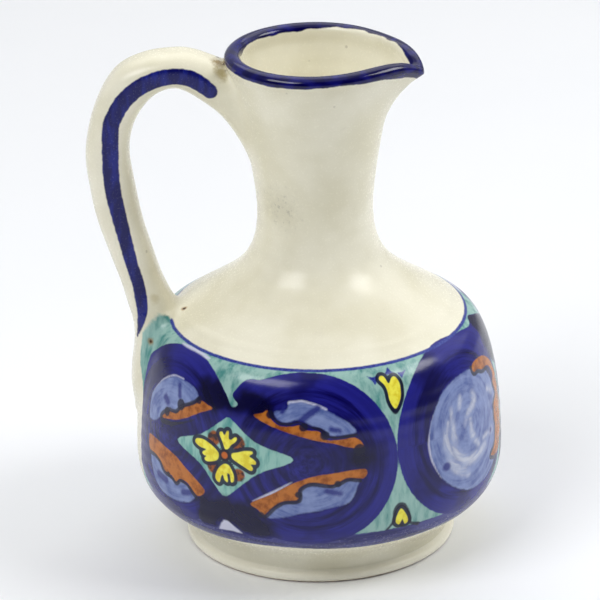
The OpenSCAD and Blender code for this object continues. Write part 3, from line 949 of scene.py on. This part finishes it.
class Nodes:
    """A small hand for wiring shader nodes."""

    def __init__(self, name):
        self.material = bpy.data.materials.new(name)
        self.material.use_nodes = True
        self.tree = self.material.node_tree
        self.tree.nodes.clear()

    def add(self, kind, sockets, **settings):
        node = self.tree.nodes.new(kind)
        for key, value in settings.items():
            setattr(node, key, value)
        for key, value in sockets.items():
            if isinstance(value, bpy.types.NodeSocket):
                self.tree.links.new(value, node.inputs[key])
            else:
                node.inputs[key].default_value = value
        return node

    def math(self, operation, a, b=0.0, c=0.0):
        return self.add("ShaderNodeMath", {0: a, 1: b, 2: c}, operation=operation).outputs[0]

    def times(self, a, b):
        return self.math("MULTIPLY", a, b)

    def times_plus(self, a, b, c):
        return self.math("MULTIPLY_ADD", a, b, c)

    def apart(self, a, b):
        return self.math("ABSOLUTE", self.math("SUBTRACT", a, b))

    def wander(self, noise, most, value):
        """The value, moved up and down by the noise."""
        return self.times_plus(self.math("SUBTRACT", noise, 0.5), most, value)

    def field(self, name):
        return self.add("ShaderNodeAttribute", {}, attribute_name=name).outputs["Fac"]

    def scaled(self, vector, size):
        return self.add("ShaderNodeVectorMath", {0: vector, 1: size}, operation="MULTIPLY").outputs[0]

    def noise(self, vector, scale, detail=2.0, rough=0.5):
        return self.add("ShaderNodeTexNoise", {"Vector": vector, "Scale": scale, "Detail": detail,
                                               "Roughness": rough}).outputs["Fac"]

    def ramp(self, value, low, high, to_low=0.0, to_high=1.0):
        return self.add("ShaderNodeMapRange", {"Value": value, "From Min": low, "From Max": high,
                                               "To Min": to_low, "To Max": to_high},
                        interpolation_type="SMOOTHSTEP").outputs[0]

    def mix(self, amount, a, b):
        """From colour a to colour b; a colour is a socket or three sRGB values up to 255."""
        a, b = (srgb(*v) if isinstance(v, tuple) else v for v in (a, b))
        return self.add("ShaderNodeMix", {0: amount, 6: a, 7: b}, data_type="RGBA").outputs[2]

    def two_tone(self, noise, low, high, a, b):
        return self.mix(self.ramp(noise, low, high), a, b)


# Place in mm, size, strength and colour of each stain in the glaze and each spot of painted shade; the first
# two have a pinhole, and the last five lie where the handle meets the rim: two brown stains, two dark spots
# of painted shade in the crease under the rim, and a blue splash
PINHOLES = 2
STAINS_AND_CREASE_SHADE = ((-38.6, -4.6, 72.5, 1.5, 0.75, (164, 122, 60)), (-48.4, -10.3, 64.7, 1.6, 0.8, (150, 108, 44)),
          (-46.8, -8.0, 77.0, 2.2, 0.4, (176, 160, 96)), (-26.6, -2.2, 147.3, 3.2, 0.95, (138, 116, 64)),
          (-26.0, -5.2, 145.3, 3.2, 0.8, (164, 148, 96)), (-25.1, -2.6, 147.2, 1.1, 0.9, (74, 58, 44)),
          (-24.7, -5.0, 145.9, 1.0, 0.85, (84, 68, 52)), (-26.8, 1.8, 147.9, 1.3, 0.7, (44, 44, 96)))


SMUDGES = ((-9.2, -14.1, 104.9), (-10.5, -13.6, 109.0))


class Glaze(Nodes):
    """Satin tin glaze: a colour and a relief, to which paint and stains are added."""

    def __init__(self, name):
        super().__init__(name)
        self.place = self.add("ShaderNodeTexCoord", {}).outputs["Object"]
        self.mm = self.scaled(self.place, (1000, 1000, 1000))
        self.patch = self.grain(0.045, 3)
        self.fine = self.grain(1.6, 3)
        self.edge = self.grain(0.55, 3, 0.6)
        self.colour = self.two_tone(self.patch, 0.35, 0.7, (240, 236, 216), (226, 221, 196))
        self.relief = self.times(self.grain(0.30), 0.030)
        # thin grey clouds, and specks where iron grains melted in the glaze
        self.lay(self.ramp(self.grain(0.11, 5, 0.7), 0.63, 0.85, 0, 0.35), (196, 190, 172))
        speck = self.add("ShaderNodeTexVoronoi", {"Vector": self.mm, "Scale": 0.16}).outputs["Distance"]
        rare = self.ramp(self.grain(0.07, 1), 0.56, 0.6)
        self.lay(self.times(self.ramp(speck, 0.10, 0.04), self.times(rare, 0.30)), (120, 108, 92))

    def grain(self, scale, detail=2.0, rough=0.5, size=None):
        """Noise over the piece; size is what its axes are multiplied by, 1000 to count in mm."""
        return self.noise(self.scaled(self.place, size) if size else self.mm, scale, detail, rough)

    def height(self):
        return self.add("ShaderNodeSeparateXYZ", {0: self.mm}).outputs[2]

    def cover(self, field, soft=0.22, wander=0.5):
        """How much of a layer of paint lies here, from the distance to its edge."""
        return self.ramp(self.wander(self.edge, wander, self.field(field)), soft, -soft)

    def near(self, x, y, z, full, none):
        away = self.add("ShaderNodeVectorMath", {0: self.mm, 1: (x, y, z)},
                        operation="DISTANCE").outputs["Value"]
        return self.ramp(self.wander(self.edge, none, away), none, full)

    def lay(self, amount, paint):
        self.colour = self.mix(amount, self.colour, paint)

    def lift(self, amount, height):
        self.relief = self.times_plus(amount, height, self.relief)


def paint_layers(g):
    """The painted band, from the teal ground up to the ink. Returns how much of it is covered."""
    ring = g.add("ShaderNodeCombineXYZ", {0: g.field("brush_out"), 1: g.times(g.field("brush_on"), 0.07)})
    streak = g.noise(ring.outputs[0], 0.55, 4, 0.6)
    upright = g.grain(0.6, 4, 0.6, (500, 500, 120))
    ground, disc = g.cover("ground", 0.3, 0.9), g.cover("disc")
    g.lay(ground, g.two_tone(upright, 0.40, 0.72, (154, 192, 184), (72, 138, 134)))
    g.lay(g.cover("wash", 0.3, 0.9),
          g.two_tone(g.grain(0.8, 3, size=(90, 90, 700)), 0.35, 0.65, (66, 68, 136), (30, 30, 98)))
    # the blue of the medallions: streaks along the brush, a lighter edge and darker patches
    blue = g.two_tone(streak, 0.34, 0.70, (7, 4, 74), (32, 32, 130))
    outer = g.ramp(g.times_plus(streak, 4.0, g.field("brush_out")), 23.2, 24.6)
    blue = g.mix(g.times(outer, 0.62), blue, (38, 38, 138))
    g.lay(disc, g.mix(g.ramp(g.grain(0.07, 3), 0.46, 0.66, 0, 0.7), blue, (6, 2, 68)))
    g.lay(g.cover("window"), g.two_tone(upright, 0.42, 0.66, (148, 194, 184), (84, 150, 146)))
    dark = g.ramp(g.wander(g.grain(0.22, 3), 5.0, g.field("dark")), 2.2, -1.4)
    g.lay(g.times(dark, g.times(disc, 0.93)), (4, 2, 40))
    g.lay(g.cover("pale", 0.4, 0.4), (204, 206, 226))
    clouds = g.times(g.math("ADD", g.grain(0.20, 3, 0.55), streak), 0.5)
    g.lay(g.cover("sky", 0.4, 0.9), g.two_tone(clouds, 0.36, 0.70, (134, 150, 196), (70, 88, 152)))
    g.lay(g.times(g.cover("swirl", 1.4, 1.4), g.ramp(streak, 0.36, 0.60, 0.3, 0.85)), (212, 216, 226))
    g.lay(g.times(g.cover("cobalt", 0.6, 0.8), 0.85), (34, 38, 122))
    g.lay(g.cover("orange", 0.22, 0.4),
          g.two_tone(g.grain(0.35, 4, 0.6), 0.4, 0.68, (188, 112, 42), (138, 70, 18)))
    # where a leaf meets its cloud, the painter drew a dark scalloped line
    leaf_edge = g.math("SUBTRACT", g.apart(g.field("orange"), 0.5), 0.6)
    scallop = g.math("MAXIMUM", leaf_edge, g.math("SUBTRACT", g.field("sky"), 0.9))
    g.lay(g.times(g.ramp(g.times_plus(g.edge, 0.5, scallop), 0.55, 0.0), 0.85), (26, 22, 40))
    g.lay(g.cover("rust", 0.4, 0.8), g.two_tone(g.grain(0.6, 3), 0.42, 0.6, (150, 78, 30), (56, 34, 34)))
    g.lay(g.cover("line", 0.22, 0.35), g.two_tone(g.fine, 0.4, 0.6, (40, 50, 138), (58, 74, 156)))
    g.lay(g.times(g.ramp(g.apart(g.field("yellow"), 0.5), 0.85, 0.45), 0.95), (16, 20, 54))
    g.lay(g.ramp(g.field("yellow"), 0.15, -0.2),
          g.two_tone(g.grain(0.5, 3), 0.4, 0.65, (246, 238, 84), (228, 210, 50)))
    g.lay(g.cover("core", 0.3, 0.4), (30, 24, 40))
    g.lay(g.ramp(g.field("rust_dot"), 0.25, -0.2), (196, 100, 34))
    g.lay(g.times(g.cover("ink", 0.3, 0.5), 0.92), (20, 20, 48))
    g.lift(g.times(streak, disc), 0.03)
    g.lift(disc, 0.02)
    # the faint ridge that the potter's tool left inside the shoulder's edge
    g.lift(g.ramp(g.apart(g.times_plus(g.patch, 1.4, g.height()), 72.8), 1.1, 0), 0.10)
    return g.math("MAXIMUM", disc, ground)


def glaze(name, layers, foot=False):
    """The glaze of one kind of piece, with the named layers of paint under it."""
    g = Glaze(name)
    rough = g.ramp(g.fine, 0.3, 0.7, 0.23, 0.28)
    if "disc" in layers:
        rough = g.times_plus(paint_layers(g), -0.05, rough)
    if "rim" in layers:
        rim = g.cover("rim", 0.25)
        thin = g.grain(0.5, 3, size=(500, 500, 900))
        g.lay(rim, g.two_tone(thin, 0.4, 0.7, (5, 3, 66), (22, 22, 108)))
        g.lift(rim, 0.02)
        rough = g.times_plus(rim, -0.12, rough)
    if "stripe" in layers:
        stripe = g.cover("stripe", 0.22, 0.6)
        along = g.grain(0.6, 3, size=(900, 300, 260))
        g.lay(stripe, g.two_tone(along, 0.38, 0.7, (6, 8, 86), (22, 32, 126)))
        g.lift(stripe, 0.015)
    # stains, and two spots of painted shade that darken the crease where the handle meets the rim
    for x, y, z, size, most, stain_or_shade in STAINS_AND_CREASE_SHADE:
        g.lay(g.times(g.near(x, y, z, 0.2 * size, size), most), stain_or_shade)
    for x, y, z, *_ in STAINS_AND_CREASE_SHADE[:PINHOLES]:
        pit = g.near(x, y, z, 0.1, 0.75)
        g.lay(pit, (62, 40, 26))
        g.lift(pit, -0.25)
    # a smudge of grey on the neck
    grains = g.times_plus(g.ramp(g.grain(0.75, 4, 0.7), 0.52, 0.70), 0.3, 0.08)
    for x, y, z in SMUDGES:
        g.lay(g.times(g.near(x, y, z, 1.5, 8.0), grains), (150, 146, 130))
    if foot:        # painted bounce light, then bare clay where the ring rests
        # painted light: the foot's cream is lightened, standing in for light bounced up from the floor
        g.lay(0.6, (255, 252, 238))
        bare = g.ramp(g.times_plus(g.edge, 0.5, g.height()), 0.85, 0.5)
        g.lay(bare, g.mix(g.fine, (176, 140, 104), (146, 108, 78)))
    bump = g.add("ShaderNodeBump", {"Height": g.relief, "Distance": 0.001, "Strength": 1.0}).outputs[0]
    shader = g.add("ShaderNodeBsdfPrincipled", {"Base Color": g.colour, "Roughness": rough, "Normal": bump,
                                               "Specular IOR Level": 0.38})
    g.add("ShaderNodeOutputMaterial", {0: shader.outputs[0]})
    return g.material


# ---------------------------------------------------------------- the pieces
def rows(*marks):
    """Rows of s: pairs of a place and the step used up to the next place."""
    out = []
    for (s0, step), (s1, _) in zip(marks[:-1], marks[1:]):
        part = wall_rows(s0, s1, step)
        out.append(part if not out else part[1:])
    return np.concatenate(out)


spout_mid = math.radians(90 + SPOUT_TURN)
half = math.radians(SPOUT_HALF)
ring_span = (spout_mid + half - 2 * math.pi, spout_mid - half)
spout_span = (spout_mid - half, spout_mid + half)
band = BAND_ZERO + np.array([21.0, 86.0])

painted = glaze("painted_band_glaze", ("disc", "stripe"))
topped = glaze("rim_and_stripe_glaze", ("rim", "stripe"))
plain = glaze("cream_glaze", ())
foot_glaze_with_painted_bounce = glaze("cream_glaze_foot_painted_bounce", (), foot=True)

handle = build_handle()
pieces = {
    "foot_ring": (wall_piece("pitcher_foot_ring", rows((AT["ring_in"], 0.4), (AT["low"], 0)), 256),
                  foot_glaze_with_painted_bounce, "cream_glaze"),
    "base_floor": (wall_piece("pitcher_base_floor", wall_rows(0.5, AT["ledge"], 2), 128,
                              wall_rows(AT["floor_in"], AT["end"] - 0.5, 2), 128, disc=True),
                   plain, "cream_glaze"),
    "belly_wall": (wall_piece("pitcher_belly_wall",
                              rows((AT["low"], 1.0), (band[0], 0.5), (AT["dome"], 0)), 640,
                              wall_rows(AT["side_in"], AT["floor_in"], 1.5), 160, knee=AT["ledge"],
                              fields=band_fields), painted, "painted_glaze"),
    "shoulder": (wall_piece("pitcher_shoulder", rows((AT["dome"], 0.5), (band[1], 1.0), (AT["neck"], 0)),
                            320, wall_rows(AT["dome_in"], AT["side_in"], 1.5), 160, fields=band_fields),
                 painted, "cream_glaze"),
    "neck": (wall_piece("pitcher_neck", wall_rows(AT["neck"], AT["collar"], 1.0), 192,
                        wall_rows(AT["neck_in"], AT["dome_in"], 1.0), 96), plain, "cream_glaze"),
    "mouth_collar": (wall_piece("pitcher_mouth_collar", wall_rows(AT["collar"], AT["roll"], 0.8), 192,
                                wall_rows(AT["collar_in"], AT["neck_in"], 0.6), 192, ring_span,
                                fields=rim_fields), topped, "cream_glaze"),
    "rim_roll": (wall_piece("pitcher_rim_roll", wall_rows(AT["roll"], AT["collar_in"], 0.35), 256,
                            span=ring_span, fields=rim_fields), topped, "blue_glaze"),
    "pouring_spout": (wall_piece("pitcher_spout", rows((AT["collar"], 0.8), (AT["roll"], 0.35),
                                                       (AT["collar_in"], 0.6), (AT["neck_in"], 0)),
                                 256, span=spout_span, fields=rim_fields), topped, "cream_glaze"),
    "handle_root": (bmesh_piece("pitcher_handle_root", handle["handle_root"], root_fields),
                    topped, "cream_glaze"),
    "handle_strap": (bmesh_piece("pitcher_handle_strap", handle["handle_strap"], strap_fields),
                     topped, "cream_glaze"),
    "handle_tail": (bmesh_piece("pitcher_handle_tail", handle["handle_tail"], tail_fields),
                    painted, "cream_glaze")}
for node, (piece, material, slot) in pieces.items():
    piece.data.materials.append(material)
    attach(piece, "root")
    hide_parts(node)


# ---------------------------------------------------------------- floor, light and camera
def direction(azimuth, elevation):
    a, e = math.radians(azimuth), math.radians(elevation)
    return Vector((math.sin(a) * math.cos(e), -math.cos(a) * math.cos(e), math.sin(e)))


def softbox(name, azimuth, elevation, distance, half_wide, half_high, power):
    lamp = bpy.data.lights.new(name, "AREA")
    lamp.shape, lamp.energy = "RECTANGLE", power
    lamp.size = 2 * distance * math.tan(math.radians(half_wide))
    lamp.size_y = 2 * distance * math.tan(math.radians(half_high))
    box = bpy.data.objects.new(name, lamp)
    out = direction(azimuth, elevation)
    box.location = out * distance + Vector((0, 0, 0.08))
    box.rotation_euler = out.to_track_quat("Z", "Y").to_euler()
    bpy.context.scene.collection.objects.link(box)


softbox("left_softbox", -45, 44, 1.25, 17, 11, 8)
softbox("right_softbox", 82, 41, 1.25, 13, 10, 6.6)
softbox("far_softbox", 115, 35, 1.3, 20, 20, 2)
softbox("top_softbox", 0, 89, 1.3, 25, 25, 2.4)
softbox("back_softbox", 180, 55, 1.3, 30, 20, 6)

# the white sweep behind the pitcher is brighter than the room in front of it
world = bpy.data.worlds.new("studio")
world.use_nodes = True
sky, wires = world.node_tree.nodes, world.node_tree.links
where = sky.new("ShaderNodeTexCoord")
behind = sky.new("ShaderNodeSeparateXYZ")
fade = sky.new("ShaderNodeMapRange")
fade.inputs["From Min"].default_value, fade.inputs["From Max"].default_value = -0.75, 1
fade.inputs["To Min"].default_value, fade.inputs["To Max"].default_value = 0.0, 0.54
wires.new(where.outputs["Generated"], behind.inputs[0])
wires.new(behind.outputs["Y"], fade.inputs["Value"])
wires.new(fade.outputs[0], sky["Background"].inputs[1])
sky["Background"].inputs[0].default_value = (0.97, 0.98, 1.0, 1)
bpy.context.scene.world = world

table_top = Nodes("pale_paper")
paper = table_top.add("ShaderNodeTexCoord", {}).outputs["Object"]
tone = table_top.mix(table_top.noise(paper, 9.0, 3), (243, 244, 246), (238, 240, 243))
shader = table_top.add("ShaderNodeBsdfPrincipled", {"Base Color": tone, "Roughness": 0.7})
table_top.add("ShaderNodeOutputMaterial", {0: shader.outputs[0]})
bpy.ops.mesh.primitive_plane_add(size=9, location=(0, 1.5, 0))
floor = bpy.context.object
floor.name = "studio_floor"
floor.data.materials.append(table_top.material)

CAMERA_AT = Vector((0, -1.2985, 0.6199))
PITCH, YAW, ROLL = 0.39896, -0.00377, -0.01983
forward = Vector((math.sin(YAW) * math.cos(PITCH), math.cos(YAW) * math.cos(PITCH), -math.sin(PITCH)))
right = forward.cross(Vector((0, 0, 1))).normalized()
up = right.cross(forward)
side = math.cos(ROLL) * right + math.sin(ROLL) * up
top = -math.sin(ROLL) * right + math.cos(ROLL) * up
lens = bpy.data.cameras.new("camera")
lens.sensor_width = 36
lens.lens = 290.3
lens.clip_start, lens.clip_end = 0.1, 30
camera = bpy.data.objects.new("camera", lens)
camera.matrix_world = Matrix([[side[k], top[k], -forward[k], CAMERA_AT[k]] for k in range(3)]
                             + [[0, 0, 0, 1]])
bpy.context.scene.collection.objects.link(camera)
bpy.context.scene.camera = camera
bpy.context.scene.view_settings.view_transform = "Standard"
